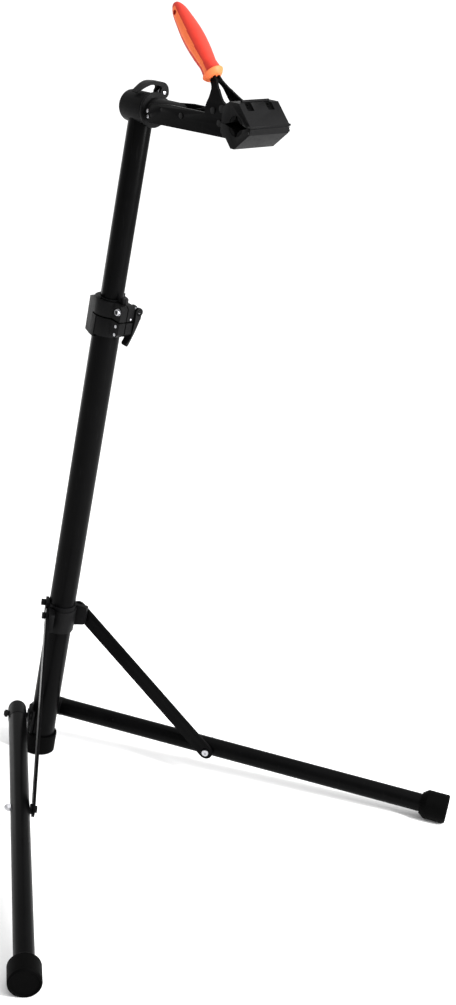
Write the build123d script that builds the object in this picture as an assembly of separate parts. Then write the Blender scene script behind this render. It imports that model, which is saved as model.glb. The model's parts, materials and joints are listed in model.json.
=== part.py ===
from build123d import *
import math
import os

# Folding bike repair stand. Millimetres, +Z up, +X the side that the legs open towards.
# The origin is the centre of the mast foot's level sole. The mast leans towards +X.
# Mast parts are drawn upright on the Z axis and then leaned over. Each leg and its brace are drawn
# in a frame turned about the mast: X out along the leg, Y across it, Z up the mast.
# Head parts are drawn in a level frame at the centre of the head barrel. Clamp parts are drawn in the same
# frame turned about X.

# Mast
LEAN = 8.0
OUTER_R = 20.0
OUTER_BORE = 18.2
OUTER_LOW = 5.0
OUTER_TOP = 742.0
UPPER_R = 16.5
UPPER_BORE = 15.0
UPPER_LOW = 430.0
HEAD_AT = 1038.5
SLIDING = 0.06
RUNNING = 0.05
FREE = 0.3

# Mast foot and leg hub
FOOT_R = 24.0
FOOT_TOP = 34.5
HUB_R = 24.5
HUB_LOW = 36.0
HUB_TOP = 76.0
HUB_FACE = 24.5
HUB_WASHER = 1.7

# Legs
SPREAD = 33.7
LEG_ANGLE = 87.0
LEG_PIVOT = 60.0
LEG_OFFSET = 42.0
LEG_R = 14.0
LEG_BORE = 12.5
LEG_LENGTH = 647.0
LEG_CAP_R = 15.0
LEG_FOOT_R = 22.3
LEG_BOLT_R = 4.0

# Braces and their slider
BRACE_AT = 263.0
BRACE_INNER = 20.7
BRACE_THICK = 4.0
BRACE_HALF = 11.3
BRACE_BOLT_R = 3.0
SLIDER_LOW = 226.5
SLIDER_TOP = 263.5
SLIDER_R = 22.8
SLIDER_BORE = 21.5
SLIDER_PIVOT = (21.0, 256.0)
EAR_INNER = 12.0
EAR_OUTER = 20.4
EAR_REACH = 36.5
LINER_TOP = 271.5
BOSS_TOP = 275.0
BOSS_OUT = 25.0
KNOB_AT = 267.5

# Height collar
COLLAR_LOW = 716.0
COLLAR_SPLIT = 743.5
COLLAR_TOP = 768.0
COLLAR_BOLT = (34.0, 759.5)
COLLAR_EAR_HALF = 12.0
COLLAR_PIN_Y = 18.6
COLLAR_CAM_R = 6.3
COLLAR_PIVOT_R = 2.2

# Head
BARREL_R = 21.3
BARREL_BACK = -27.0
BARREL_FRONT = 19.0
BARREL_BORE = 15.5
SPINDLE_R = 12.0
HEAD_EAR_Y = 38.0
HEAD_EAR_TOP = 12.1
SKEWER_Y = 30.0
HEAD_PIN_Z = 20.1
HEAD_CAM_R = 7.7

# Clamp arm, with X from the barrel centre, turned a little about the barrel
ARM_ROLL = 2.5
FLANGE_R = 23.5
FLANGE = (22.0, 26.5)
NECK_R = 16.8
NECK_END = 76.0
WALL_OUT = 20.0
WALL_IN = 17.0
JAW_PIN = (179.4, 6.8)
HANDLE_PIN = (187.0, 25.8)
LINK_PIN = (169.5, 21.5)
LINK_FOOT = (104.0, 5.4)
LINK_HALF = 6.5
JAW_HALF = 33.0
TONGUE_HALF = 13.8
GRIP_HOLE = (224.5, 10.5)
GRIP_HOLE_R = 8.0
PAD_R = 13.0
SPLIT_GAP = 0.2

# Handle
HANDLE_IN = 20.4
HANDLE_PLATE = 3.0
GRIP_BASE = (145.1, 56.1)
GRIP_RISE = 136.0
GRIP_LENGTH = 121.5
PANEL_Y = 10.6
PANEL_END = 114.0
HANG_HOLE_AT = 106.0
HANG_HOLE_R = 3.2

MAST = Location((0, 0, 0), (0, LEAN, 0))
LEAN_RAD = math.radians(LEAN)
HEAD = Pos(HEAD_AT * math.sin(LEAN_RAD), 0, HEAD_AT * math.cos(LEAN_RAD))
ARM = HEAD * Rot(ARM_ROLL, 0, 0)
LEG_RAD = math.radians(LEG_ANGLE)
BRACE_FOOT = (BRACE_AT * math.sin(LEG_RAD), LEG_PIVOT + BRACE_AT * math.cos(LEG_RAD))
SIDES = {"right": -1, "left": 1}
nodes = {}


def rod(start, end, radius):
    """Round bar from one point to another."""
    line = Vector(*end) - Vector(*start)
    return Solid.make_cylinder(radius, line.length, Plane(origin=start, z_dir=line))


def pipe(start, end, outer, inner):
    """Round tube from one point to another."""
    return rod(start, end, outer) - rod(start, end, inner)


def hex_bar(start, end, radius):
    """Hexagonal bar, radius to its corners."""
    line = Vector(*end) - Vector(*start)
    plane = Plane(origin=start, z_dir=line)
    return extrude(plane * RegularPolygon(radius, 6), line.length)


def block(x, y, z):
    """Box between (low, high) pairs."""
    size = Box(x[1] - x[0], y[1] - y[0], z[1] - z[0])
    return Pos((x[0] + x[1]) / 2, (y[0] + y[1]) / 2, (z[0] + z[1]) / 2) * size


def xz_plate(outline, y_low, y_high):
    """Plate with an outline of (x, z) points, from one Y to another."""
    face = Face(Wire.make_polygon([(x, y_low, z) for x, z in outline]))
    return extrude(face, y_high - y_low, dir=(0, 1, 0))


def yz_plate(outline, x_low, x_high):
    """Plate with an outline of (y, z) points, from one X to another."""
    face = Face(Wire.make_polygon([(x_low, y, z) for y, z in outline]))
    return extrude(face, x_high - x_low, dir=(1, 0, 0))


def xy_plate(outline, z_low, z_high):
    """Plate with an outline of (x, y) points, from one Z to another."""
    face = Face(Wire.make_polygon([(x, y, z_low) for x, y in outline]))
    return extrude(face, z_high - z_low, dir=(0, 0, 1))


def pin(at, y_low, y_high, radius):
    """Bar along Y through the point (x, z)."""
    return rod((at[0], y_low, at[1]), (at[0], y_high, at[1]), radius)


def link(start, end, radius, y_low, y_high):
    """Flat bar with round ends, between two (x, z) points."""
    along = Vector(end[0] - start[0], end[1] - start[1]).normalized()
    side = Vector(-along.Y * radius, along.X * radius)
    outline = [(start[0] + side.X, start[1] + side.Y), (end[0] + side.X, end[1] + side.Y),
               (end[0] - side.X, end[1] - side.Y), (start[0] - side.X, start[1] - side.Y)]
    bar = xz_plate(outline, y_low, y_high)
    return bar + pin(start, y_low, y_high, radius) + pin(end, y_low, y_high, radius)


def across(side, low, high):
    """Distances out from the mast's centre plane, as a (low, high) pair of Y for one side."""
    return (low, high) if side > 0 else (-high, -low)


def leg_frame(side):
    """Frame of one leg: X out along it, Z up the mast."""
    return MAST * Location((0, 0, 0), (0, 0, side * SPREAD))


def add(name, shape, frame):
    """Keep a finished node, placed in the stand's own frame."""
    nodes[name] = shape.moved(frame) if frame else shape


# ---- mast ----
def make_mast():
    add("outer_tube", pipe((0, 0, OUTER_LOW), (0, 0, OUTER_TOP), OUTER_R, OUTER_BORE), MAST)

    foot = rod((0, 0, -10), (0, 0, FOOT_TOP), FOOT_R)
    foot = chamfer(foot.edges().sort_by(Axis.Z)[-1], 1.5)
    foot -= rod((0, 0, OUTER_LOW), (0, 0, FOOT_TOP + 1), OUTER_R)
    ground = block((-100, 100), (-100, 100), (-100, 0))
    foot = foot.moved(MAST) - ground
    sole_rim = foot.faces().sort_by(Axis.Z)[0].edges()
    add("mast_foot", chamfer(sole_rim, 3.0), None)


def make_hub():
    hub = rod((0, 0, HUB_LOW), (0, 0, HUB_TOP), HUB_R)
    for side in SIDES.values():
        pad = block((-14, 12), across(side, 0, HUB_FACE), (HUB_LOW, HUB_TOP))
        pad = fillet(pad.edges().filter_by(Axis.Z), 2.0)
        pad = fillet(pad.edges().filter_by(Axis.Y).group_by(Axis.Z)[-1], 5.0)
        hub += pad.moved(Location((0, 0, 0), (0, 0, side * SPREAD)))
    hub -= rod((0, 0, 0), (0, 0, 100), OUTER_R) + block((2, 60), (-60, 60), (0, 100))
    screws = []
    bolts = []
    nuts = []
    washers = []
    for side in SIDES.values():
        frame = Location((0, 0, 0), (0, 0, side * SPREAD))
        start = (0, side * (OUTER_R + 0.5), LEG_PIVOT)
        nut_at = LEG_OFFSET + LEG_CAP_R + FREE
        bolt = rod(start, (0, side * (nut_at + 6), LEG_PIVOT), LEG_BOLT_R).moved(frame)
        bolts.append(bolt)
        hub -= bolt
        nut = hex_bar((0, side * nut_at, LEG_PIVOT), (0, side * (nut_at + 4.5), LEG_PIVOT), 6.5)
        nuts.append(nut.moved(frame) - bolt)
        face = side * HUB_FACE
        washer = rod((0, face, LEG_PIVOT), (0, face + side * HUB_WASHER, LEG_PIVOT), 11.0)
        washers.append(washer.moved(frame) - bolt)
        for height in (48.0, 59.0, 69.0):
            shank = rod((7, side * 21.6, height), (12, side * 21.6, height), 1.6)
            head = rod((12, side * 21.6, height), (13.4, side * 21.6, height), 2.2)
            screw = (shank + head).moved(frame)
            screws.append(screw)
            hub -= screw
    add("leg_hub", hub, MAST)
    add("hub_screws", Compound(screws), MAST)
    add("leg_pivot_bolts", Compound(bolts), MAST)
    add("leg_pivot_nuts", Compound(nuts), MAST)
    add("leg_pivot_washers", Compound(washers), MAST)


# ---- legs ----
def make_leg(name, side):
    frame = leg_frame(side)
    y = side * LEG_OFFSET
    pivot = Vector(0, y, LEG_PIVOT)
    along = Vector(math.sin(LEG_RAD), 0, math.cos(LEG_RAD))

    def at(distance):
        point = pivot + along * distance
        return (point.X, point.Y, point.Z)

    bolt_hole = pin((0, LEG_PIVOT), y - 40, y + 40, LEG_BOLT_R + RUNNING)
    stud_start = side * (LEG_OFFSET - LEG_R)
    stud_end = side * (LEG_OFFSET + LEG_R + 3)
    stud = pin(BRACE_FOOT, *sorted((stud_start, stud_end)), BRACE_BOLT_R)
    tube = pipe(at(-8), at(LEG_LENGTH - 4), LEG_R, LEG_BORE) - bolt_hole - stud
    add("leg_tube_" + name, tube, frame)

    cap = rod(at(-15), at(16), LEG_CAP_R) + Pos(*at(-15)) * Sphere(LEG_CAP_R)
    cap -= rod(at(-8), at(20), LEG_R)
    cap -= bolt_hole
    add("leg_cap_" + name, cap, frame)

    shoulder = Solid.make_cone(LEG_R + 2.4, LEG_FOOT_R, 9, Plane(origin=at(605), z_dir=along))
    foot = shoulder + rod(at(614), at(LEG_LENGTH - 2), LEG_FOOT_R)
    foot += Solid.make_cone(LEG_FOOT_R, LEG_FOOT_R - 2, 2, Plane(origin=at(LEG_LENGTH - 2), z_dir=along))
    foot -= rod(at(600), at(LEG_LENGTH - 4), LEG_R)
    ground = block((-900, 900), (-900, 900), (-100, 0))
    add("leg_foot_" + name, foot.moved(frame) - ground, None)

    nut_base = side * (LEG_OFFSET + LEG_R - 0.2)
    nut_top = side * (LEG_OFFSET + LEG_R + 4.5)
    nut = hex_bar((BRACE_FOOT[0], nut_base, BRACE_FOOT[1]), (BRACE_FOOT[0], nut_top, BRACE_FOOT[1]), 5.8)
    nut += Pos(BRACE_FOOT[0], nut_top, BRACE_FOOT[1]) * Sphere(4.4)
    leg_wall = rod(at(200), at(300), LEG_R)
    add("brace_stud_" + name, Compound([stud, nut - stud - leg_wall]), frame)


def make_brace(name, side):
    frame = leg_frame(side)
    low, high = across(side, BRACE_INNER, BRACE_INNER + BRACE_THICK)
    bar = link(SLIDER_PIVOT, BRACE_FOOT, BRACE_HALF, low, high)
    bar -= pin(SLIDER_PIVOT, low - 1, high + 1, BRACE_BOLT_R + RUNNING)
    spacer_out = LEG_OFFSET - LEG_R - FREE
    outer = BRACE_INNER + BRACE_THICK
    shank = pin(BRACE_FOOT, *across(side, BRACE_INNER, spacer_out), BRACE_BOLT_R)
    head = pin(BRACE_FOOT, *across(side, BRACE_INNER - 3.4, BRACE_INNER), 5.2)
    head -= pin(BRACE_FOOT, *across(side, BRACE_INNER - 4, BRACE_INNER - 1.6), 1.8)
    spacer = pin(BRACE_FOOT, *across(side, outer, spacer_out), 7.5) - shank
    add("brace_" + name, bar - shank, frame)
    add("brace_bolt_" + name, Compound([head + shank, spacer]), frame)


# ---- slider ----
def make_slider():
    collar = rod((0, 0, SLIDER_LOW), (0, 0, SLIDER_TOP), SLIDER_R)
    bolts = []
    for side in SIDES.values():
        turn = Location((0, 0, 0), (0, 0, side * SPREAD))
        outline = [(4, SLIDER_LOW), (13, 228), (24, 232), (EAR_REACH, 236), (EAR_REACH, 265.5), (4, 265.5)]
        ear = xz_plate(outline, *across(side, EAR_INNER, EAR_OUTER))
        collar += fillet(ear.edges().filter_by(Axis.Y).group_by(Axis.X)[-1], 2.5).moved(turn)
        head_at = BRACE_INNER + BRACE_THICK + 0.2
        shank = pin(SLIDER_PIVOT, *across(side, EAR_INNER + 1, head_at), BRACE_BOLT_R)
        head = pin(SLIDER_PIVOT, *across(side, head_at, head_at + 5.2), 5.2)
        bolts.append((shank + head).moved(turn))
        collar -= bolts[-1]
    knob_turn = Location((0, 0, 0), (0, 0, SIDES["right"] * SPREAD))
    boss = block((-8, 8), (-BOSS_OUT, -19), (SLIDER_LOW + 20, BOSS_TOP))
    collar += fillet(boss.edges().filter_by(Axis.Y).group_by(Axis.Z)[-1], 3.0).moved(knob_turn)
    collar -= rod((0, 0, 200), (0, 0, 300), SLIDER_BORE)
    screw_hole = pin((0, KNOB_AT), -40, -10, 2.0 + RUNNING).moved(knob_turn)
    add("slider_collar", collar - screw_hole, MAST)
    liner = pipe((0, 0, SLIDER_LOW), (0, 0, LINER_TOP), SLIDER_BORE, OUTER_R + SLIDING)
    add("slider_liner", liner - screw_hole, MAST)
    add("brace_pivot_bolts", Compound(bolts), MAST)
    knob = pin((0, KNOB_AT), -BOSS_OUT - 7.0, -BOSS_OUT - FREE, 5.0)
    knob += pin((0, KNOB_AT), -BOSS_OUT - FREE, -OUTER_R - FREE, 2.0)
    add("slider_knob", knob.moved(knob_turn), MAST)


# ---- height collar ----
def make_height_collar():
    bolt_x, bolt_z = COLLAR_BOLT
    half = COLLAR_EAR_HALF
    casting = rod((0, 0, COLLAR_LOW), (0, 0, COLLAR_SPLIT + 1), 23.0)
    casting += rod((0, 0, COLLAR_SPLIT), (0, 0, COLLAR_TOP), 24.0)
    lug = xz_plate([(-32, 711.5), (0, 711.5), (0, 772), (-7, 772), (-32, 760.5)], -24, 24)
    half_plan = [(-32, 11.5), (-29, 15.5), (-12, 21.6), (0, 24)]
    plan = half_plan + [(x, -y) for x, y in reversed(half_plan)]
    casting += lug & xy_plate(plan, 700, 800)
    ear = [(0, 722), (35, 722), (39.5, 727), (39.5, 765), (36.5, COLLAR_TOP), (0, COLLAR_TOP)]
    casting += xz_plate(ear, -half, half)
    casting -= rod((0, 0, 700), (0, 0, OUTER_TOP), OUTER_R)
    casting -= rod((0, 0, OUTER_TOP), (0, 0, 800), OUTER_BORE)
    casting -= rod((0, 0, COLLAR_TOP), (0, 0, 800), 20.0)
    casting -= block((-10, 60), (-40, 40), (COLLAR_SPLIT, COLLAR_SPLIT + 2.5))
    casting -= block((0, 60), (-0.8, 0.8), (700, 800))

    shank = pin(COLLAR_BOLT, -half, COLLAR_PIN_Y, 2.6)
    head = pin(COLLAR_BOLT, -half - 3.5, -half, 3.9)
    head -= pin(COLLAR_BOLT, -half - 4, -half - 1.5, 1.6)
    eye = rod((bolt_x - 3.5, COLLAR_PIN_Y, bolt_z), (bolt_x + 3.5, COLLAR_PIN_Y, bolt_z), 4.3)
    hole_r = COLLAR_PIVOT_R + RUNNING
    eye_hole = rod((bolt_x - 9, COLLAR_PIN_Y, bolt_z), (bolt_x + 9, COLLAR_PIN_Y, bolt_z), hole_r)
    skewer = shank + head + eye - eye_hole
    rivets = []
    for height in (725.8, 738.0):
        spot = (33.0, height)
        rivet = pin(spot, -half, half, 1.6) + pin(spot, -half - 1.0, -half, 2.4)
        rivets.append(rivet + pin(spot, half, half + 0.5, 2.4))
        casting -= rivets[-1]
    rivets.append(rod((34, 7, 749), (40.2, 7, 749), 1.4))
    casting -= rivets[-1] + shank
    add("height_collar", casting, MAST)
    add("collar_skewer", skewer, MAST)
    washer = pin(COLLAR_BOLT, -half - 0.6, -half, 4.9) - shank
    add("collar_washer", washer - head, MAST)
    add("collar_rivets", Compound(rivets), MAST)
    bush = pipe((0, 0, 700), (0, 0, COLLAR_TOP), OUTER_BORE, UPPER_R + SLIDING)
    bush += pipe((0, 0, COLLAR_TOP), (0, 0, COLLAR_TOP + 2.5), 20.0, UPPER_R + SLIDING)
    bush += block((17.5, 30.5), (-4, 2), (COLLAR_TOP, COLLAR_TOP + 2.5))
    bush += block((24.5, 30.5), (-4, 2), (COLLAR_TOP, COLLAR_TOP + 8.5))
    add("collar_bush", bush, MAST)

    cam_ends = (bolt_x - 9.0, bolt_x + 9.0)
    cam = rod((cam_ends[0], COLLAR_PIN_Y, bolt_z), (cam_ends[1], COLLAR_PIN_Y, bolt_z), COLLAR_CAM_R)
    blade = [(12.9, 751), (12.9, 721), (9.5, 714.5), (6.5, 711.5), (7.5, 707), (10.5, 706.5), (14.5, 716),
             (17, 728), (19.6, 742), (22, 754), (22.4, 759), (22.4, 763.8), (20, 765.4), (18.6, 765.6)]
    lever = cam + yz_plate(blade, *cam_ends)
    lever &= xz_plate([(25, 780), (43, 780), (43, 745), (38.5, 700), (28, 700), (25, 745)], -40, 40)
    lever -= block((bolt_x - 3.8, bolt_x + 3.8), (0, 40), (bolt_z - 9, 800))
    pivot = rod((cam_ends[0], COLLAR_PIN_Y, bolt_z), (cam_ends[1], COLLAR_PIN_Y, bolt_z), COLLAR_PIVOT_R)
    add("collar_lever", lever - pivot, MAST)
    add("collar_lever_pin", pivot, MAST)


# ---- upper mast and head ----
def make_upper_mast():
    barrel = rod((BARREL_BACK, 0, 0), (BARREL_FRONT, 0, 0), BARREL_R)
    tube = pipe((0, 0, UPPER_LOW), (0, 0, HEAD_AT), UPPER_R, UPPER_BORE).moved(MAST)
    add("upper_tube", tube - barrel.moved(HEAD), None)
    glide = pipe((0, 0, UPPER_LOW), (0, 0, UPPER_LOW + 24), OUTER_BORE - 0.1, UPPER_R)
    add("tube_glide", glide, MAST)

    casting = fillet(barrel.edges().sort_by(Axis.X)[0], 4.0)
    down = Vector(-math.sin(LEAN_RAD), 0, -math.cos(LEAN_RAD)) * 58
    casting += rod((0, 0, 0), (down.X, down.Y, down.Z), UPPER_BORE - RUNNING)
    ears = block((-9, 9), (0, HEAD_EAR_Y), (-12, HEAD_EAR_TOP))
    casting += fillet(ears.edges().filter_by(Axis.Z).group_by(Axis.Y)[-1], 6.0)
    casting -= rod((BARREL_BACK - 1, 0, 0), (BARREL_FRONT + 1, 0, 0), BARREL_BORE)
    casting -= block((-60, 60), (10, 60), (-1.5, 1.5))

    shank = rod((0, SKEWER_Y, -16), (0, SKEWER_Y, HEAD_PIN_Z), 2.5)
    eye = rod((-3.5, SKEWER_Y, HEAD_PIN_Z), (3.5, SKEWER_Y, HEAD_PIN_Z), 5.0)
    eye_hole = rod((-9, SKEWER_Y, HEAD_PIN_Z), (9, SKEWER_Y, HEAD_PIN_Z), 2.5 + RUNNING)
    add("head_casting", casting - shank, HEAD)
    add("head_skewer", shank + eye - eye_hole, HEAD)
    nut = rod((0, SKEWER_Y, -19), (0, SKEWER_Y, -12), 7.0)
    add("head_skewer_nut", nut - shank, HEAD)
    bush = pipe((-12, 0, 0), (BARREL_FRONT, 0, 0), BARREL_BORE, SPINDLE_R + RUNNING)
    add("head_bush", bush, HEAD)
    cap = rod((BARREL_BACK - 1.5, 0, 0), (BARREL_BACK, 0, 0), 17.3)
    cap += rod((BARREL_BACK, 0, 0), (BARREL_BACK + 4, 0, 0), BARREL_BORE)
    add("barrel_cap", fillet(cap.edges().sort_by(Axis.X)[0], 1.2), HEAD)


def make_head_lever():
    cam = rod((-8, SKEWER_Y, HEAD_PIN_Z), (8, SKEWER_Y, HEAD_PIN_Z), HEAD_CAM_R)
    outer = Spline([(0, -18, 20.5), (0, -7.5, 28.5), (0, 5, 34.6), (0, 20, 35.0), (0, 33, 31.2)])
    back = Polyline([(0, 33, 31.2), (0, 36.3, 26.5), (0, 37.4, 22), (0, 27, 19), (0, 25.5, 26)])
    inner = Spline([(0, 25.5, 26), (0, 17, 29.6), (0, 5, 29.6), (0, -6, 24.6), (0, -14.5, 19)])
    edges = [outer, *back.edges(), inner, Line(inner @ 1, outer @ 0)]
    arch = extrude(Face(Wire(edges)), 9.0, dir=(1, 0, 0), both=True)
    lever = cam + arch
    lever &= xy_plate([(-8, 60), (-8, 14), (-5, -22), (5, -22), (8, 14), (8, 60)], 0, 60)
    lever -= block((-3.8, 3.8), (24, 50), (0, 60))
    pivot = rod((-8, SKEWER_Y, HEAD_PIN_Z), (8, SKEWER_Y, HEAD_PIN_Z), 2.5)
    add("head_lever", lever - pivot, HEAD)
    add("head_lever_pin", pivot, HEAD)


# ---- clamp arm ----
def grip_hole(y_low, y_high):
    """Four-pointed hole between the closed jaws, on a round centre."""
    x, z = GRIP_HOLE
    flat_star = [(x - 21.5, z), (x, z + 6), (x + 21.5, z), (x, z - 6)]
    tall_star = [(x - 6, z), (x, z + 13), (x + 6, z), (x, z - 15)]
    hole = pin(GRIP_HOLE, y_low, y_high, GRIP_HOLE_R)
    return hole + xz_plate(flat_star, y_low, y_high) + xz_plate(tall_star, y_low, y_high)


def half_pad(upper):
    """Rubber lining of one jaw."""
    x, z = GRIP_HOLE
    pad = pin(GRIP_HOLE, 0.5 - JAW_HALF, JAW_HALF - 0.5, PAD_R) - grip_hole(-40, 40)
    span = (z + SPLIT_GAP, z + 40) if upper else (z - 40, z - SPLIT_GAP)
    return pad & block((x - 40, x + 40), (-40, 40), span)


def make_arm():
    spindle = rod((-12, 0, 0), (FLANGE[0], 0, 0), SPINDLE_R)
    spindle += rod((-21.5, 0, 0), (-12, 0, 0), 6.0)
    add("arm_spindle", spindle, ARM)
    nut = hex_bar((-20, 0, 0), (-12 - FREE, 0, 0), 12.0) - rod((-30, 0, 0), (0, 0, 0), 6.0)
    add("spindle_nut", nut, ARM)
    root = rod((FLANGE[0], 0, 0), (FLANGE[1], 0, 0), FLANGE_R)
    root = fillet(root.edges().sort_by(Axis.X), 1.2)
    root += rod((FLANGE[1], 0, 0), (NECK_END, 0, 0), NECK_R)
    root -= rod((50, 0, 0), (NECK_END + 1, 0, 0), 4.0 + RUNNING)
    screws = []
    for height in (-6.5, 1.0):
        head_at = -math.sqrt(NECK_R ** 2 - height ** 2) - 1.2
        screw = rod((31.5, head_at, height), (31.5, -9, height), 1.5)
        screw += rod((31.5, head_at, height), (31.5, head_at + 2.6, height), 2.4)
        screws.append(screw)
        root -= screw
    wall_gap = [(37, -20), (NECK_END + 1, -20), (NECK_END + 1, -9.5), (37, -10.3)]
    add("arm_root", root - xz_plate(wall_gap, -30, 30), ARM)
    add("arm_screws", Compound(screws), ARM)

    side = [(38, 11.6), (83, 15.6), (160, 16.2), (184, 15.2), (195, 9), (195, -9.9), (150, -10.7),
            (38, -13.2)]
    channel = xz_plate(side, -WALL_OUT, WALL_OUT)
    channel = fillet(channel.edges().filter_by(Axis.X, 3).group_by(Axis.Z)[0], 3.0)
    hollow = [(30, 40), (200, 40), (200, -30), (150, -30), (150, -8.3), (30, -10.7)]
    channel -= xz_plate(hollow, -WALL_IN, WALL_IN)
    rivets = []
    for spot in (LINK_FOOT, (189.5, -5.4), (43.0, -3.0), (64.0, 7.2)):
        rivet = pin(spot, -WALL_OUT, WALL_OUT, 2.6)
        if spot[0] > 100:
            rivet += pin(spot, -WALL_OUT - 1, -WALL_OUT, 3.8) + pin(spot, WALL_OUT, WALL_OUT + 1, 3.8)
        rivets.append(rivet)
        channel -= rivet
    jaw_pin = pin(JAW_PIN, -WALL_OUT, WALL_OUT, 3.5)
    channel -= jaw_pin
    jaw_pin += pin(JAW_PIN, -WALL_OUT - 1.2, -WALL_OUT, 4.4) + pin(JAW_PIN, WALL_OUT, WALL_OUT + 1.2, 4.4)
    nodes["arm_root"] -= Compound(rivets).moved(ARM)
    add("arm_channel", channel, ARM)
    add("arm_rivets", Compound(rivets), ARM)
    add("jaw_pin", jaw_pin, ARM)

    x, z = GRIP_HOLE
    top = z - SPLIT_GAP
    jaw = [(196.3, top), (251.5, top), (250, 2.7), (224, -18), (216.5, -18), (207, -7.5), (196.3, -1)]
    lower = xz_plate(jaw, -JAW_HALF, JAW_HALF)
    lower += xz_plate([(184, -9.4), (207, -7.5), (207, 3), (189.5, -1)], -WALL_IN, WALL_IN)
    for y in (-JAW_HALF - 2.2, JAW_HALF):
        lower += block((247, 250), (y, y + 2.2), (4, 7))
    lower -= pin(GRIP_HOLE, -40, 40, PAD_R) + grip_hole(-40, 40)
    add("lower_jaw", lower - Compound(rivets), ARM)
    add("lower_jaw_pad", half_pad(False), ARM)


def make_adjuster():
    screw = rod((50, 0, 0), (93, 0, 0), 4.0)
    wheel = rod((79, 0, 0), (88, 0, 0), 9.5)
    grooves = 18
    for index in range(grooves):
        turn = Location((0, 0, 0), (index * 360 / grooves, 0, 0))
        wheel -= rod((78, 0, 9.8), (89, 0, 9.8), 0.9).moved(turn)
    add("adjuster_screw", screw + wheel, ARM)


def make_upper_jaw():
    x, z = GRIP_HOLE
    low = z + SPLIT_GAP
    jaw = [(197, low), (251.5, low), (251, 13.4), (227.5, 38.5), (210, 38.5), (199, 31)]
    upper = xz_plate(jaw, -JAW_HALF, JAW_HALF)
    upper += link(JAW_PIN, HANDLE_PIN, 7.0, -TONGUE_HALF, TONGUE_HALF)
    neck = [(179.4, -0.1), (191, low), (199, low), (199, 29), (187, 32.7), (179.4, 14)]
    upper += xz_plate(neck, -TONGUE_HALF, TONGUE_HALF)
    upper -= pin(GRIP_HOLE, -40, 40, PAD_R) + grip_hole(-40, 40)
    upper -= pin(JAW_PIN, -40, 40, 3.5 + RUNNING)
    handle_pin = pin(HANDLE_PIN, -HANDLE_IN - HANDLE_PLATE, HANDLE_IN + HANDLE_PLATE, 3.0)
    upper -= handle_pin
    for y in (-18.6, 15.6):
        upper -= rod((222, y, 44.5), (235.5, y, 30), 5.4)
    upper += rod((221, -23, 39.4), (221, 22, 39.4), 2.0)
    for y in (-JAW_HALF - 2.2, JAW_HALF):
        upper += block((248, 251), (y, y + 2.2), (11.5, 14))
    add("upper_jaw", upper, ARM)
    add("upper_jaw_pad", half_pad(True), ARM)
    ends = HANDLE_IN + HANDLE_PLATE + FREE
    for low_y, high_y in ((-ends - 1.6, -ends), (ends, ends + 1.6)):
        handle_pin += pin(HANDLE_PIN, low_y, high_y, 4.8)
    handle_pin += pin(HANDLE_PIN, -ends - 0.1, ends + 0.1, 3.0)
    add("handle_pin", handle_pin, ARM)


def make_link():
    bar = link(LINK_FOOT, LINK_PIN, LINK_HALF, -4, 4)
    bar -= pin(LINK_FOOT, -10, 10, 2.6 + RUNNING)
    bar -= pin(LINK_PIN, -10, 10, 5.2)
    add("toggle_link", bar, ARM)


# ---- handle ----
def grip_solid():
    """Pliers-type sleeve, lofted on ovals along its own straight axis."""
    angle = math.radians(GRIP_RISE)
    along = Vector(math.cos(angle), 0, math.sin(angle))
    stations = ((2, 17.5), (4.4, 23.6), (8.4, 28.8), (11, 26.2), (16, 24.6), (23, 23.2), (31, 25.0), (42, 27.4),
                (59, 29.2), (76, 28.0), (94, 24.0), (107, 20.0), (115, 14.6), (GRIP_LENGTH, 5.0))
    ovals = []
    for distance, width in stations:
        point = Vector(GRIP_BASE[0], 0, GRIP_BASE[1]) + along * distance
        plane = Plane(origin=point, x_dir=(0, 1, 0), z_dir=along)
        ovals.append(plane * Ellipse(width * 0.47, width * 0.52))
    return loft(ovals)


def make_handle():
    bend = [(HANDLE_IN, 5), (HANDLE_IN, 24), (14.5, 33), (2, 57), (2, 110), (5, 110), (5, 57.7), (17.4, 34),
            (23.4, 25), (23.4, 5)]
    outline = [(154, 11), (188, 13), (193, 20), (193, 27), (187.5, 31.5), (180.5, 33.6), (173, 38.2),
               (164.5, 45), (156, 51.8), (149.5, 58.5), (116.9, 91.7), (108.6, 83.1), (143, 52), (149.5, 46),
               (152, 38), (153.3, 28), (154, 18)]
    shape = xz_plate(outline, -30, 30)
    inner_pin = pin(LINK_PIN, -HANDLE_IN - HANDLE_PLATE, HANDLE_IN + HANDLE_PLATE, 2.5)
    pin_hole = pin(HANDLE_PIN, -40, 40, 3.0 + RUNNING)
    plates = {}
    for name, side in SIDES.items():
        strip = yz_plate([(side * y, z) for y, z in bend], 90, 200)
        plates[name] = (strip & shape) - inner_pin - pin_hole
        add("handle_plate_" + name, plates[name], ARM)
    ends = HANDLE_IN + HANDLE_PLATE
    inner_pin += pin(LINK_PIN, -ends - 1.4, -ends, 4.2) + pin(LINK_PIN, ends, ends + 1.4, 4.2)
    add("handle_link_pin", inner_pin, ARM)

    sleeve = grip_solid() - plates["right"] - plates["left"]
    angle = math.radians(GRIP_RISE)
    along = Vector(math.cos(angle), 0, math.sin(angle))
    under = Vector(-math.sin(angle), 0, math.cos(angle)) * 1.0
    base = Vector(GRIP_BASE[0], 0, GRIP_BASE[1])
    frame = Plane(origin=base, x_dir=under, z_dir=along).location
    hole = rod((0, -30, HANG_HOLE_AT), (0, 30, HANG_HOLE_AT), HANG_HOLE_R).moved(frame)
    accent = block((-30, 30), (-30, 30), (-5, 10.4)).moved(frame)
    for side in SIDES.values():
        accent += block((-6, 6), across(side, PANEL_Y, 30), (10.4, PANEL_END)).moved(frame)
    add("grip", sleeve - accent - hole, ARM)
    add("grip_accent", (sleeve & accent) - hole, ARM)


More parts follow.
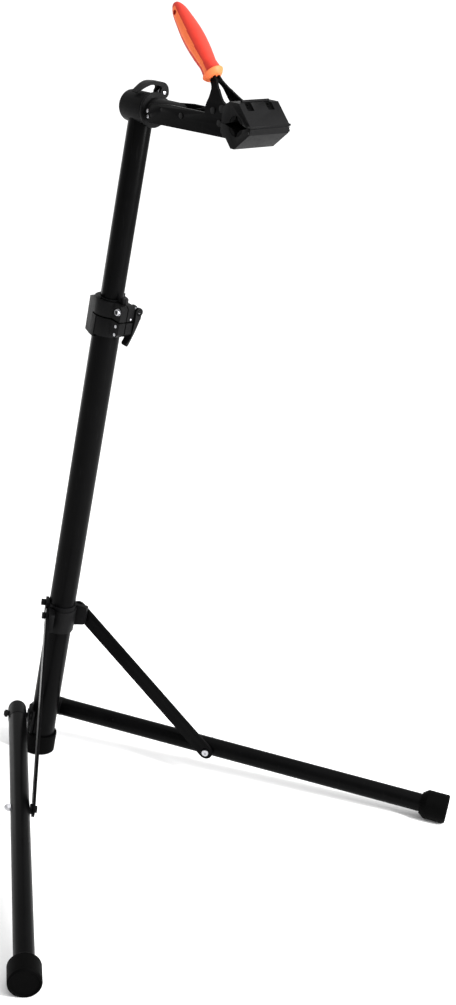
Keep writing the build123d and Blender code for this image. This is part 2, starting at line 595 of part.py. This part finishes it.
make_mast()
make_hub()
for leg_name, leg_side in SIDES.items():
    make_leg(leg_name, leg_side)
    make_brace(leg_name, leg_side)
make_slider()
make_height_collar()
make_upper_mast()
make_head_lever()
make_arm()
make_adjuster()
make_upper_jaw()
make_link()
make_handle()

os.makedirs("parts", exist_ok=True)
for node_name, node_shape in nodes.items():
    export_step(node_shape, "parts/" + node_name + ".step")
    print(node_name, round(node_shape.volume))
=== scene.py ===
import json
import math

import bmesh
import bpy
from mathutils import Matrix, Vector


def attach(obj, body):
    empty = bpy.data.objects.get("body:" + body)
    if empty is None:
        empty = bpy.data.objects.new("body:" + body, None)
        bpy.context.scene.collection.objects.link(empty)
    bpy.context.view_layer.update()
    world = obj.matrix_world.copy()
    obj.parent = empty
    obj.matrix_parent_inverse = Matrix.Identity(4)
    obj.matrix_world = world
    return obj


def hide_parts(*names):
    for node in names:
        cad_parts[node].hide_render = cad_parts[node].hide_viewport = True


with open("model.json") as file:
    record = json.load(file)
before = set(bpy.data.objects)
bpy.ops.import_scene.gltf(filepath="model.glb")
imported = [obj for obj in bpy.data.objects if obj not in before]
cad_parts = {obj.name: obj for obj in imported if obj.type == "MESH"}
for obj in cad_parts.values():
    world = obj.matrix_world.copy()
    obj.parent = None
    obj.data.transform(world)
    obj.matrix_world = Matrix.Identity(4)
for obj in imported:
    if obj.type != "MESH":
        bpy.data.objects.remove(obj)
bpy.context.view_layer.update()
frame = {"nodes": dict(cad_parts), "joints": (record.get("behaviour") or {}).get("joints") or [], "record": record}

# Folding bike repair stand. Sizes are in millimetres, each in its own part's frame.
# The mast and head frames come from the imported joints, in metres.
MM = 0.001

# mast and legs
OUTER_R = 20.0
OUTER_BORE = 18.2
OUTER_LOW = 5.0
OUTER_TOP = 742.0
MAST_FOOT_R = 24.0
LEG_R = 14.0
LEG_BORE = 12.5
LEG_END = 643.0
LEG_FOOT_R = 22.3
CAP_R = 14.5
SPREAD = 33.7
LEG_ANGLE = 87.0
LEG_OFFSET = 42.0
LEG_PIVOT = 60.0
SIDES = {"right": -1, "left": 1}

# clamp arm and handle
ARM_ROLL = 2.5
GRIP_ANGLE = math.radians(136.0)
GRIP_BASE = Vector((145.1, 0, 56.1))
GRIP_LONG_WAY = 0.52
GRIP_SHORT_WAY = 0.47
GRIP_COLLAR = 10.4
PANEL_EDGE = 64.0
PANEL_NARROWING = 11.0
PANEL_LOW = 12.0
PANEL_GROWS = 70.0
PANEL_END = 114.0
PANEL_GROOVE = 0.035
PANEL_GROOVE_WIDE = 3.2
COLLAR_GROOVE = 0.04
COLLAR_GROOVE_WIDE = 0.7
HANG_HOLE_AT = 106.0
HANG_HOLE_R = 3.2
PLATE_THICK = 3.0
PLATE_TOP_Y = 2.0

# quick levers and bolts, as (x, y, z)
HEAD_CAM = (0, 30, 20.1)
COLLAR_CAM = (34, 18.6, 759.5)
COLLAR_BOLT_FACE = (34, -15.5, 759.5)
# Spot of the dark disc in the collar bolt's socket: painted shade of the recess, in the black_oxide finish.
COLLAR_SOCKET_SHADE = (34, -15.8, 759.5)
JAW_SCREWS = ((225.4, -18.6, 34.4), (225.4, 15.6, 34.4))

JOINTS = {joint["name"]: joint for joint in frame["joints"]}
UP = Vector(JOINTS["upper_mast_slide"]["axis"])


def basis(x, y, z, origin):
    """Frame with the given axes and origin, taking millimetres to metres."""
    turn = Matrix((x, y, z)).transposed().to_4x4()
    return Matrix.Translation(origin) @ turn @ Matrix.Scale(MM, 4)


Y_AXIS = Vector((0, 1, 0))
MAST = basis(Y_AXIS.cross(UP), Y_AXIS, UP, Vector((0, 0, 0)))
HEAD = basis(Vector((1, 0, 0)), Y_AXIS, Vector((0, 0, 1)), Vector(JOINTS["arm_turn"]["pos_m"]))
ARM = HEAD @ Matrix.Rotation(math.radians(ARM_ROLL), 4, "X")


# ---- materials ----
def new_material(name):
    """An empty node material with its Principled shader, and a helper that adds nodes."""
    material = bpy.data.materials.new(name)
    material.use_nodes = True
    tree = material.node_tree
    shader = tree.nodes["Principled BSDF"]

    def node(kind, inputs=None, **settings):
        made = tree.nodes.new(kind)
        for key, value in settings.items():
            setattr(made, key, value)
        for key, value in (inputs or {}).items():
            if isinstance(value, bpy.types.NodeSocket):
                tree.links.new(value, made.inputs[key])
            else:
                made.inputs[key].default_value = value
        return made

    return material, tree, shader, node


def coated(name, colour, rough, grain, bump, gloss=0.3, metallic=0.0, mottle=0.25, scuff=0.0):
    """Grained surface: colour and roughness drift slowly, a fine grain lifts it, faint scuffs cross it."""
    material, tree, shader, node = new_material(name)
    place = node("ShaderNodeTexCoord").outputs["Object"]
    drift = node("ShaderNodeTexNoise", {"Vector": place, "Scale": 34.0, "Detail": 6.0, "Roughness": 0.6})
    fine = node("ShaderNodeTexNoise", {"Vector": place, "Scale": grain, "Detail": 3.0, "Roughness": 0.55})
    shade = node("ShaderNodeMapRange", {"Value": drift.outputs["Fac"], "From Min": 0.3, "From Max": 0.7,
                                        "To Min": 1.0 - mottle, "To Max": 1.0 + mottle})
    tint = node("ShaderNodeVectorMath", {0: colour, "Scale": shade.outputs["Result"]}, operation="SCALE")
    base = tint.outputs["Vector"]
    smear = node("ShaderNodeMapRange", {"Value": drift.outputs["Fac"], "From Min": 0.25, "From Max": 0.75,
                                        "To Min": rough * 0.88, "To Max": min(1.0, rough * 1.14)})
    roughness = smear.outputs["Result"]
    if scuff:
        stretch = node("ShaderNodeVectorMath", {0: place, 1: (310.0, 310.0, 22.0)}, operation="MULTIPLY")
        lines = node("ShaderNodeTexNoise", {"Vector": stretch.outputs["Vector"], "Scale": 1.0, "Detail": 5.0})
        marks = node("ShaderNodeMapRange", {"Value": lines.outputs["Fac"], "From Min": 0.6, "From Max": 0.74,
                                            "To Min": 0.0, "To Max": scuff})
        pale = tuple(min(1.0, c * 2.2 + 0.012) for c in colour)
        mixed = node("ShaderNodeMix", {"A": base, "B": pale}, data_type="VECTOR")
        tree.links.new(marks.outputs["Result"], mixed.inputs["Factor"])
        base = mixed.outputs["Result"]
        lift = node("ShaderNodeMath", {0: roughness, 1: marks.outputs["Result"]}, operation="ADD",
                    use_clamp=True)
        roughness = lift.outputs["Value"]
    relief = node("ShaderNodeBump", {"Height": fine.outputs["Fac"], "Strength": bump, "Distance": 0.0002})
    tree.links.new(base, shader.inputs["Base Color"])
    tree.links.new(roughness, shader.inputs["Roughness"])
    tree.links.new(relief.outputs["Normal"], shader.inputs["Normal"])
    shader.inputs["Metallic"].default_value = metallic
    shader.inputs["Specular IOR Level"].default_value = gloss
    return material


def paint():
    """Every material of the stand, by slot name."""
    return {
        "black_coat": coated("black_coat", (0.0011, 0.0011, 0.0012), 0.3, 2600.0, 0.12, gloss=0.035,
                             scuff=0.12),
        "black_cast": coated("black_cast", (0.0028, 0.0028, 0.003), 0.46, 1500.0, 0.5, gloss=0.07, scuff=0.2),
        "black_plastic": coated("black_plastic", (0.0018, 0.0018, 0.002), 0.42, 3200.0, 0.3, gloss=0.06),
        "black_rubber": coated("black_rubber", (0.001, 0.001, 0.001), 0.6, 1900.0, 0.55, gloss=0.02,
                               mottle=0.35),
        "pad_rubber": coated("pad_rubber", (0.0015, 0.0015, 0.0016), 0.66, 1700.0, 0.6, gloss=0.06,
                             mottle=0.4),
        "black_oxide": coated("black_oxide", (0.0028, 0.0028, 0.003), 0.4, 2400.0, 0.2, gloss=0.1,
                              scuff=0.12),
        "bright_steel": coated("bright_steel", (0.44, 0.44, 0.46), 0.32, 2100.0, 0.15, metallic=1.0,
                               mottle=0.12),
        "liner_nylon": coated("liner_nylon", (0.02, 0.02, 0.022), 0.5, 1800.0, 0.25),
        "grip_red": coated("grip_red", (0.5, 0.032, 0.019), 0.45, 2400.0, 0.35, gloss=0.2, mottle=0.1),
        "grip_orange": coated("grip_orange", (0.8, 0.16, 0.05), 0.45, 2400.0, 0.35, gloss=0.2, mottle=0.08),
    }


MATERIALS = paint()
SLOT_OF = {row["node"]: row["material_slot"] for row in frame["record"]["subparts"]}


# ---- shapes ----
def leg_basis(side):
    """Frame of one leg: Z down the leg from its pivot, Y outwards across it."""
    turn = Matrix.Rotation(math.radians(side * SPREAD), 4, "Z")
    place = Matrix.Translation((0, side * LEG_OFFSET, LEG_PIVOT))
    return MAST @ turn @ place @ Matrix.Rotation(math.radians(LEG_ANGLE), 4, "Y")


def soften(corners, steps=6):
    """Outline of (a, b, radius) corners with each corner rounded to its radius."""
    line = []
    for index, (a, b, radius) in enumerate(corners):
        here = Vector((a, b))
        if radius == 0 or index in (0, len(corners) - 1):
            line.append(here)
            continue
        back = (Vector(corners[index - 1][:2]) - here).normalized()
        ahead = (Vector(corners[index + 1][:2]) - here).normalized()
        half = max(0.05, back.angle(ahead) / 2)
        reach = radius / math.tan(half)
        start, end = here + back * reach, here + ahead * reach
        for step in range(steps + 1):
            t = step / steps
            line.append(start.lerp(here, t).lerp(here.lerp(end, t), t))
    return line


def smooth_line(keys, count):
    """Catmull-Rom samples through tuples of numbers, evenly spaced in the key index."""
    found = []
    last = len(keys) - 1
    for step in range(count + 1):
        spot = last * step / count
        i = min(int(spot), last - 1)
        t = spot - i
        p0, p1, p2, p3 = (keys[min(max(i + k, 0), last)] for k in (-1, 0, 1, 2))
        found.append(tuple(0.5 * (2 * b + (c - a) * t + (2 * a - 5 * b + 4 * c - d) * t * t
                                  + (3 * b - a - 3 * c + d) * t ** 3)
                           for a, b, c, d in zip(p0, p1, p2, p3)))
    return found


def skin(rings, closed_ends=True):
    """Quads between rings of points; the two end rings are filled."""
    form = bmesh.new()
    rows = [[form.verts.new(point) for point in ring] for ring in rings]
    count = len(rows[0])
    for low, high in zip(rows, rows[1:]):
        for i in range(count):
            form.faces.new((low[i], low[(i + 1) % count], high[(i + 1) % count], high[i]))
    if closed_ends:
        form.faces.new(reversed(rows[0]))
        form.faces.new(rows[-1])
    bmesh.ops.recalc_face_normals(form, faces=form.faces)
    return form


def circle(radius, z, segments):
    """Ring of points about Z."""
    turns = [k * math.tau / segments for k in range(segments)]
    return [Vector((radius * math.cos(turn), radius * math.sin(turn), z)) for turn in turns]


def lathe(profile, segments=96):
    """Solid turned about Z from an outline of (radius, z) points that starts and ends near the axis."""
    return skin([circle(max(radius, 0.001), z, segments) for radius, z in profile])


def keep(name, form, body, slot, where, stands_for=(), rim=0.0, smooth=40.0, segments=3):
    """Place a form (millimetres in its own frame) on a body, with its material.

    It replaces the CAD nodes in stands_for. Edges sharper than smooth degrees stay crisp, or are
    bevelled by rim.
    """
    bmesh.ops.transform(form, matrix=where, verts=form.verts)
    bmesh.ops.remove_doubles(form, verts=form.verts, dist=0.000002)
    mesh = bpy.data.meshes.new(name)
    for face in form.faces:
        face.smooth = True
    form.to_mesh(mesh)
    form.free()
    piece = bpy.data.objects.new(name, mesh)
    bpy.context.scene.collection.objects.link(piece)
    mesh.materials.append(MATERIALS[slot])
    if rim:
        edge = piece.modifiers.new("rim", "BEVEL")
        edge.width = rim * MM
        edge.segments = segments
        edge.limit_method = "ANGLE"
        edge.angle_limit = math.radians(smooth)
        edge.harden_normals = True
    else:
        mesh.set_sharp_from_angle(angle=math.radians(smooth))
    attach(piece, body)
    for node in stands_for:
        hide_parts(node)
    return piece


def cut_by_floor(form, where):
    """Take away what lies under the floor and close the cut."""
    floor_point = where.inverted() @ Vector((0, 0, 0))
    up = (where.inverted().to_3x3() @ Vector((0, 0, 1))).normalized()
    cells = form.verts[:] + form.edges[:] + form.faces[:]
    cut = bmesh.ops.bisect_plane(form, geom=cells, plane_co=floor_point, plane_no=up, clear_inner=True)
    rim = [item for item in cut["geom_cut"] if isinstance(item, bmesh.types.BMEdge)]
    bmesh.ops.holes_fill(form, edges=rim, sides=0)
    return form


# ---- CAD nodes that keep their shape ----
def dress(name, bevel):
    """Give a CAD node its material and softly rounded edges."""
    piece = frame["nodes"][name]
    piece.data.materials.clear()
    piece.data.materials.append(MATERIALS[SLOT_OF[name]])
    weld = piece.modifiers.new("weld", "WELD")
    weld.merge_threshold = 0.00001
    flat = piece.modifiers.new("flat", "DECIMATE")
    flat.decimate_type = "DISSOLVE"
    flat.angle_limit = math.radians(0.5)
    rim = piece.modifiers.new("rim", "BEVEL")
    rim.width = bevel * MM
    rim.segments = 3
    rim.limit_method = "ANGLE"
    rim.angle_limit = math.radians(32)
    rim.use_clamp_overlap = True
    rim.harden_normals = True
    for face in piece.data.polygons:
        face.use_smooth = True
    return piece


BEVELS = {"upper_jaw": 1.1, "lower_jaw": 1.1, "arm_channel": 0.7, "height_collar": 1.0, "slider_collar": 1.0,
          "leg_hub": 0.9, "head_casting": 1.0, "brace_right": 0.9, "brace_left": 0.9}
SMALL_BEVEL = 0.5
for node_name in frame["nodes"]:
    dress(node_name, BEVELS.get(node_name, SMALL_BEVEL))


# ---- tubes ----
def tube(name, body, where, low, high, outer, bore):
    """Round tube with rolled ends."""
    lip = min(0.5, (outer - bore) / 3)
    profile = soften([(bore, (low + high) / 2, 0), (bore, low, lip), (outer, low, lip), (outer, high, lip),
                      (bore, high, lip), (bore, (low + high) / 2 + 0.01, 0)])
    rings = [circle(radius, z, 128) for radius, z in profile]
    keep(name, skin(rings, closed_ends=False), body, "black_coat", where, [name])


def tubes():
    """The outer mast tube and both leg tubes."""
    tube("outer_tube", "mast", MAST, OUTER_LOW, OUTER_TOP, OUTER_R, OUTER_BORE)
    for word, side in SIDES.items():
        tube("leg_tube_" + word, "leg_" + word, leg_basis(side), -8.0, LEG_END, LEG_R, LEG_BORE)


# ---- feet and caps ----
def leg_foot(word, where):
    """Rubber foot: a neck on the tube, a flare, and a sole cut level with the floor."""
    neck = [(0.001, 620), (LEG_R - 0.1, 620)]
    cup = soften([(LEG_R, 640, 0), (LEG_R, 605, 0.6), (16.2, 605, 1.2), (LEG_FOOT_R, 613.5, 3.0),
                  (LEG_FOOT_R, 645.5, 2.2), (19.5, 647, 0.8), (18.6, 645.2, 0.6), (0, 645.2, 0)])
    form = cut_by_floor(lathe(neck + cup[1:], 128), where)
    keep("leg_foot_" + word, form, "leg_" + word, "black_rubber", where, ["leg_foot_" + word], rim=0.9,
         smooth=38)


def leg_cap(word, where):
    """Domed cap over the leg's pivot end."""
    quarter = [math.pi / 2 * k / 16 for k in range(1, 17)]
    dome = [(0.0, -30.0, 0)] + [(CAP_R * math.sin(a), -15 - 15 * math.cos(a), 0) for a in quarter]
    skirt = [(CAP_R, 15.4, 0), (CAP_R - 0.1, 16, 0.3), (LEG_R, 16, 0), (LEG_R, -7, 0), (0, -7, 0)]
    form = lathe(soften(dome + skirt), 96)
    keep("leg_cap_" + word, form, "leg_" + word, "black_plastic", where, ["leg_cap_" + word])


def mast_foot():
    """Rubber foot of the mast, cut level with the floor."""
    profile = soften([(0, -9, 0), (MAST_FOOT_R, -9, 0), (MAST_FOOT_R, 34.5, 1.8), (20.5, 34.5, 0.6),
                      (20.2, 33.6, 0.2), (OUTER_R, 33.6, 0), (OUTER_R, 5.2, 0), (0, 5.2, 0)])
    form = cut_by_floor(lathe(profile, 128), MAST)
    keep("mast_foot", form, "mast", "black_rubber", MAST, ["mast_foot"], rim=2.4, smooth=50, segments=5)


def feet():
    """Feet and caps of both legs, and the mast's foot."""
    for word, side in SIDES.items():
        where = leg_basis(side)
        leg_foot(word, where)
        leg_cap(word, where)
    mast_foot()


# ---- handle ----
ALONG = Vector((math.cos(GRIP_ANGLE), 0, math.sin(GRIP_ANGLE)))
ASIDE = Vector((math.sin(GRIP_ANGLE), 0, -math.cos(GRIP_ANGLE)))


def panel_edge(reach):
    """Angle round the grip, in degrees, where its side panel starts; it narrows towards the collar."""
    grown = min(1.0, max(0.0, (reach - PANEL_LOW) / PANEL_GROWS))
    return PANEL_EDGE + PANEL_NARROWING * (1.0 - grown)


def grip_ring(reach, width):
    """One oval station of the grip, with the grooves between its two colours."""
    ring = []
    for k in range(96):
        turn = math.tau * k / 96
        off_panel = abs(abs(math.degrees(math.asin(math.sin(turn)))) - panel_edge(reach))
        groove = COLLAR_GROOVE * math.exp(-((reach - GRIP_COLLAR) / COLLAR_GROOVE_WIDE) ** 2)
        if GRIP_COLLAR + 0.1 < reach < PANEL_END:
            groove = max(groove, PANEL_GROOVE * math.exp(-(off_panel / PANEL_GROOVE_WIDE) ** 2))
        size = width * (1 - groove)
        ring.append(GRIP_BASE + ALONG * reach + ASIDE * (size * GRIP_LONG_WAY * math.cos(turn))
                    + Vector((0, size * GRIP_SHORT_WAY * math.sin(turn), 0)))
    return ring


def loose(name, form):
    """A scene object made from a form, for a boolean."""
    mesh = bpy.data.meshes.new(name)
    form.to_mesh(mesh)
    form.free()
    made = bpy.data.objects.new(name, mesh)
    bpy.context.scene.collection.objects.link(made)
    return made


def drilled_grip():
    """The whole grip with its hanging hole, in the arm's frame."""
    stations = [(2.2, 16.5), (2.6, 19.0), (4.4, 23.6), (6.6, 27.0), (8.4, 29.2), (9.6, 28.8), (10.8, 26.0),
                (16.0, 24.4), (23.0, 23.2), (31.0, 25.0), (42.0, 27.4), (59.0, 29.2), (76.0, 28.0),
                (94.0, 24.0), (107.0, 20.0), (115.0, 14.6), (119.5, 9.0), (121.3, 3.0)]
    form = skin([grip_ring(reach, width) for reach, width in smooth_line(stations, 160)])
    bmesh.ops.transform(form, matrix=ARM, verts=form.verts)
    blank = loose("grip_blank", form)
    bore = bmesh.new()
    bmesh.ops.create_cone(bore, cap_ends=True, segments=48, radius1=HANG_HOLE_R, radius2=HANG_HOLE_R,
                          depth=60)
    spot = GRIP_BASE + ALONG * HANG_HOLE_AT
    lay = ARM @ Matrix.Translation(spot) @ Matrix.Rotation(math.pi / 2, 4, "X")
    bmesh.ops.transform(bore, matrix=lay, verts=bore.verts)
    drill = loose("drill", bore)
    hole = blank.modifiers.new("hole", "BOOLEAN")
    hole.operation = "DIFFERENCE"
    hole.object = drill
    bpy.context.view_layer.update()
    made = blank.evaluated_get(bpy.context.evaluated_depsgraph_get())
    carved = bmesh.new()
    carved.from_mesh(made.to_mesh())
    for item in (blank, drill):
        bpy.data.objects.remove(item)
    bmesh.ops.transform(carved, matrix=ARM.inverted(), verts=carved.verts)
    return carved


def is_accent(face):
    """Whether a face of the grip belongs to the collar or to a side panel."""
    middle = face.calc_center_median() - GRIP_BASE
    reach = middle.dot(ALONG)
    across = abs(middle.y) / GRIP_SHORT_WAY
    tilt = math.degrees(math.atan2(across, abs(middle.dot(ASIDE)) / GRIP_LONG_WAY))
    return reach < GRIP_COLLAR or (tilt > panel_edge(reach) and reach < PANEL_END)


def handle():
    """Grip in two colours, and the two fork plates."""
    carved = drilled_grip()
    for name, slot, wanted in (("grip", "grip_red", False), ("grip_accent", "grip_orange", True)):
        part = carved.copy()
        drop = [face for face in part.faces if is_accent(face) != wanted]
        bmesh.ops.delete(part, geom=drop, context="FACES")
        keep(name, part, "handle", slot, ARM, [name], smooth=60)
    carved.free()
    for word, side in SIDES.items():
        plate(word, side)


def depth(lean, z):
    """Distance of the plate's inner face from the middle plane at height z, along its (y, z) line."""
    for (y0, z0), (y1, z1) in zip(lean, lean[1:]):
        if z0 <= z <= z1:
            return y0 + (y1 - y0) * (z - z0) / (z1 - z0)
    return PLATE_TOP_Y


def plate(word, side, across=10):
    """One pressed side plate of the handle, leaning in towards the grip."""
    left = smooth_line([(154.5, 11.6), (154, 20), (153.5, 28), (152, 38), (149.6, 46), (143.4, 52.4),
                        (132, 62), (120, 72.8), (108.6, 83.1)], 64)
    right = smooth_line([(188, 13.2), (192.6, 19), (192.6, 26.6), (187.4, 31.2), (180.5, 33.6),
                         (172.6, 38.6), (164.6, 45), (156, 51.8), (116.9, 91.7)], 64)
    lean = smooth_line([(20.4, 5), (20.4, 16), (20.2, 23), (18.2, 28), (14.6, 33.4), (10.2, 41.2),
                        (5.8, 49.2), (2.6, 55.6), (PLATE_TOP_Y, 62), (PLATE_TOP_Y, 80), (PLATE_TOP_Y, 110)],
                       160)
    rings = []
    for start, end in zip(left, right):
        inner, outer = [], []
        for k in range(across + 1):
            x, z = (a + (b - a) * k / across for a, b in zip(start, end))
            slope = depth(lean, z + 0.5) - depth(lean, z - 0.5)
            thick = PLATE_THICK * math.sqrt(1 + slope * slope)
            inner.append(Vector((x, side * depth(lean, z), z)))
            outer.append(Vector((x, side * (depth(lean, z) + thick), z)))
        rings.append(inner + outer[::-1])
    keep("handle_plate_" + word, skin(rings), "handle", "black_coat", ARM, ["handle_plate_" + word], rim=0.8,
         smooth=50)


# ---- quick levers ----
def strap(name, body, where, line, stands_for, rim):
    """Curved bar: each station is (outer y, outer z, inner y, inner z, half width, centre x)."""
    rings = []
    for oa, ob, ia, ib, half, middle in smooth_line(line, 48):
        rings.append([Vector((middle - half, oa, ob)), Vector((middle + half, oa, ob)),
                      Vector((middle + half, ia, ib)), Vector((middle - half, ia, ib))])
    keep(name, skin(rings), body, "black_cast", where, stands_for, rim=rim, smooth=40, segments=4)


def cam_lugs(lever, where, at, radius, outer, inner=3.9):
    """Two round cam lobes either side of the skewer's eye."""
    for index, sign in enumerate((-1, 1)):
        profile = soften([(0, inner, 0), (radius, inner, 0.5), (radius, outer, 1.1), (2.6, outer, 0.4),
                          (2.6, outer - 0.8, 0), (0, outer - 0.8, 0)])
        turn = Matrix.Rotation(sign * math.pi / 2, 4, "Y")
        spot = where @ Matrix.Translation(at) @ turn
        keep(lever + "_cam_" + str(index), lathe(profile, 64), lever, "black_cast", spot)


def head_lever():
    """Quick-release lever of the head, with its webs and cam lobes."""
    line = [(31.5, 32.6, 24.6, 27.6, 7.9, 0), (26.0, 34.4, 21.0, 29.2, 7.8, 0),
            (16.0, 35.4, 15.0, 29.9, 7.6, 0), (6.0, 34.9, 7.0, 30.2, 7.3, 0),
            (-3.0, 31.6, -0.6, 27.4, 6.5, 0), (-10.5, 26.6, -8.0, 23.4, 5.8, 0),
            (-17.4, 21.2, -14.8, 19.4, 5.1, 0)]
    strap("head_lever", "head_lever", HEAD, line, ["head_lever"], 1.2)
    cam_lugs("head_lever", HEAD, HEAD_CAM, 7.7, 8.0)
    for index, sign in enumerate((-1, 1)):
        web = [(31.5, 32.6, 24.4, 27.6, 2.0, sign * 5.9), (35.6, 28.0, 25.0, 24.0, 2.0, sign * 5.9),
               (37.2, 22.0, 26.0, 19.0, 2.0, sign * 5.9)]
        strap("head_lever_web_" + str(index), "head_lever", HEAD, web, [], 0.9)


def collar_lever():
    """Cam lever of the height collar, with its webs and cam lobes."""
    line = [(22.2, 751.0, 13.1, 748.5, 9.0, 34), (21.0, 745, 13.0, 741, 8.8, 33.8),
            (19.4, 737, 12.9, 732, 8.0, 33.6), (16.8, 727, 12.6, 722.6, 7.2, 33.4),
            (14.0, 717.6, 9.8, 715.2, 6.2, 33.3), (12.0, 711.2, 7.2, 711.6, 5.6, 33.2),
            (10.4, 707.2, 7.4, 708.0, 5.0, 33.2)]
    strap("collar_lever", "collar_lever", MAST, line, ["collar_lever"], 1.2)
    cam_lugs("collar_lever", MAST, COLLAR_CAM, 6.3, 9.0)
    for index, sign in enumerate((-1, 1)):
        middle = COLLAR_CAM[0] + sign * 6.4
        web = [(22.3, 749, 13.0, 747.5, 2.6, middle), (22.5, 754, 12.9, 753.5, 2.6, middle),
               (22.5, 759.5, 12.6, 759.5, 2.6, middle), (21.4, 763.8, 14.6, 763.6, 2.6, middle)]
        strap("collar_lever_web_" + str(index), "collar_lever", MAST, web, [], 0.9)


# ---- small hardware ----
def ring_head(name, body, where, place, turn, radius, height, hole, slot):
    """Domed button head with a socket, standing on the point and facing along its turned Z."""
    sill = height * 0.35
    profile = soften([(radius, 0, 0), (radius, sill, 0.4), (radius * 0.78, height, 0.8), (hole, height, 0.3),
                      (hole, sill, 0.2), (0, sill, 0)], steps=5)
    keep(name, lathe([(0.001, 0)] + profile, 64), body, slot, where @ Matrix.Translation(place) @ turn)


def hardware():
    """Bolt head on the collar with a dark disc in its socket as painted shade, and the two screws in the upper
    jaw's notches, darkened with the rubber finish as painted shade.
    """
    out = Matrix.Rotation(math.pi / 2, 4, "X")
    socket_shade_r = 2.95
    ring_head("collar_bolt_head", "mast", MAST, COLLAR_BOLT_FACE, out, 4.6, 0.9, 2.9, "bright_steel")
    # A black_oxide disc nearly fills the socket of the bright bolt head: painted shade of the recess.
    socket = lathe([(0.001, 0), (socket_shade_r, 0), (socket_shade_r, 0.55), (0.001, 0.55)], 40)
    keep("collar_bolt_socket_shade", socket, "mast", "black_oxide", MAST @ Matrix.Translation(COLLAR_SOCKET_SHADE) @ out)
    lay = Matrix.Rotation(math.radians(43), 4, "Y")
    # The jaw screws take the dull black_rubber finish, darker than their own metal: painted shade of the notches
    # they sit in.
    for index, spot in enumerate(JAW_SCREWS):
        ring_head("jaw_screw_" + str(index), "upper_jaw", ARM, spot, lay, 3.6, 1.8, 1.5, "black_rubber")


tubes()
feet()
handle()
head_lever()
collar_lever()
hardware()


# ---- studio ----
CAMERA_AT = (1.92482, -1.45058, 1.28731)
CAMERA_YAW = 136.934
CAMERA_PITCH = -19.522
CAMERA_ROLL = 5.462
CAMERA_LENS = 60.12
CAMERA_SHIFT = (0.0065, 0.004)
FLOOR_R = 80.0
PALE = (0.93, 0.93, 0.93, 1.0)


def camera():
    """The photograph's viewpoint."""
    data = bpy.data.cameras.new("view")
    made = bpy.data.objects.new("view", data)
    bpy.context.scene.collection.objects.link(made)
    yaw, pitch, roll = (math.radians(a) for a in (CAMERA_YAW, CAMERA_PITCH, CAMERA_ROLL))
    ahead = Vector((math.cos(pitch) * math.cos(yaw), math.cos(pitch) * math.sin(yaw), math.sin(pitch)))
    right = ahead.cross(Vector((0, 0, 1))).normalized()
    above = right.cross(ahead)
    side = right * math.cos(roll) + above * math.sin(roll)
    top = above * math.cos(roll) - right * math.sin(roll)
    turn = Matrix((side, top, -ahead)).transposed().to_4x4()
    made.matrix_world = Matrix.Translation(CAMERA_AT) @ turn
    data.sensor_width = 36.0
    data.lens = CAMERA_LENS
    data.shift_x, data.shift_y = CAMERA_SHIFT
    data.clip_end = 200.0
    bpy.context.scene.camera = made


def lamp(name, place, aim, wide, tall, power):
    """Soft rectangular lamp aimed at a point."""
    data = bpy.data.lights.new(name, "AREA")
    data.energy = power
    data.shape = "RECTANGLE"
    data.size = wide
    data.size_y = tall
    made = bpy.data.objects.new(name, data)
    bpy.context.scene.collection.objects.link(made)
    made.location = place
    made.rotation_mode = "QUATERNION"
    made.rotation_quaternion = (Vector(aim) - Vector(place)).to_track_quat("-Z", "Y")


def floor():
    """Wide pale disc under the stand."""
    mesh = bpy.data.meshes.new("floor")
    form = bmesh.new()
    bmesh.ops.create_circle(form, cap_ends=True, segments=128, radius=FLOOR_R)
    form.to_mesh(mesh)
    form.free()
    made = bpy.data.objects.new("floor", mesh)
    bpy.context.scene.collection.objects.link(made)
    material, tree, shader, node = new_material("floor")
    shader.inputs["Base Color"].default_value = PALE
    shader.inputs["Roughness"].default_value = 0.9
    mesh.materials.append(material)


def sky():
    """White surroundings, a little dimmer on the -Y side, with a broad sun."""
    world = bpy.data.worlds.new("studio")
    world.use_nodes = True
    nodes = world.node_tree.nodes
    link = world.node_tree.links.new
    glow = nodes["Background"]
    glow.inputs["Color"].default_value = (1.0, 1.0, 1.0, 1.0)
    heading = nodes.new("ShaderNodeTexCoord")
    parts = nodes.new("ShaderNodeSeparateXYZ")
    fade = nodes.new("ShaderNodeMapRange")
    fade.interpolation_type = "SMOOTHSTEP"
    for socket, value in (("From Min", -0.9), ("From Max", 0.35), ("To Min", 0.72), ("To Max", 0.94)):
        fade.inputs[socket].default_value = value
    link(heading.outputs["Generated"], parts.inputs["Vector"])
    link(parts.outputs["Y"], fade.inputs["Value"])
    link(fade.outputs["Result"], glow.inputs["Strength"])
    bpy.context.scene.world = world
    bpy.context.scene.view_settings.view_transform = "Standard"
    light = bpy.data.lights.new("sky", "SUN")
    light.energy = 1.4
    light.angle = math.radians(80)
    sun = bpy.data.objects.new("sky", light)
    bpy.context.scene.collection.objects.link(sun)
    sun.rotation_mode = "QUATERNION"
    sun.rotation_quaternion = Vector((-0.45, -0.3, -1.0)).to_track_quat("-Z", "Y")


camera()
floor()
sky()
lamp("key", (2.25, 0.7, 1.5), (0.12, 0.0, 0.9), 0.3, 1.7, 110.0)
lamp("rim", (-1.9, 0.0, 0.3), (0.3, -0.2, 0.05), 0.5, 0.4, 2.0)
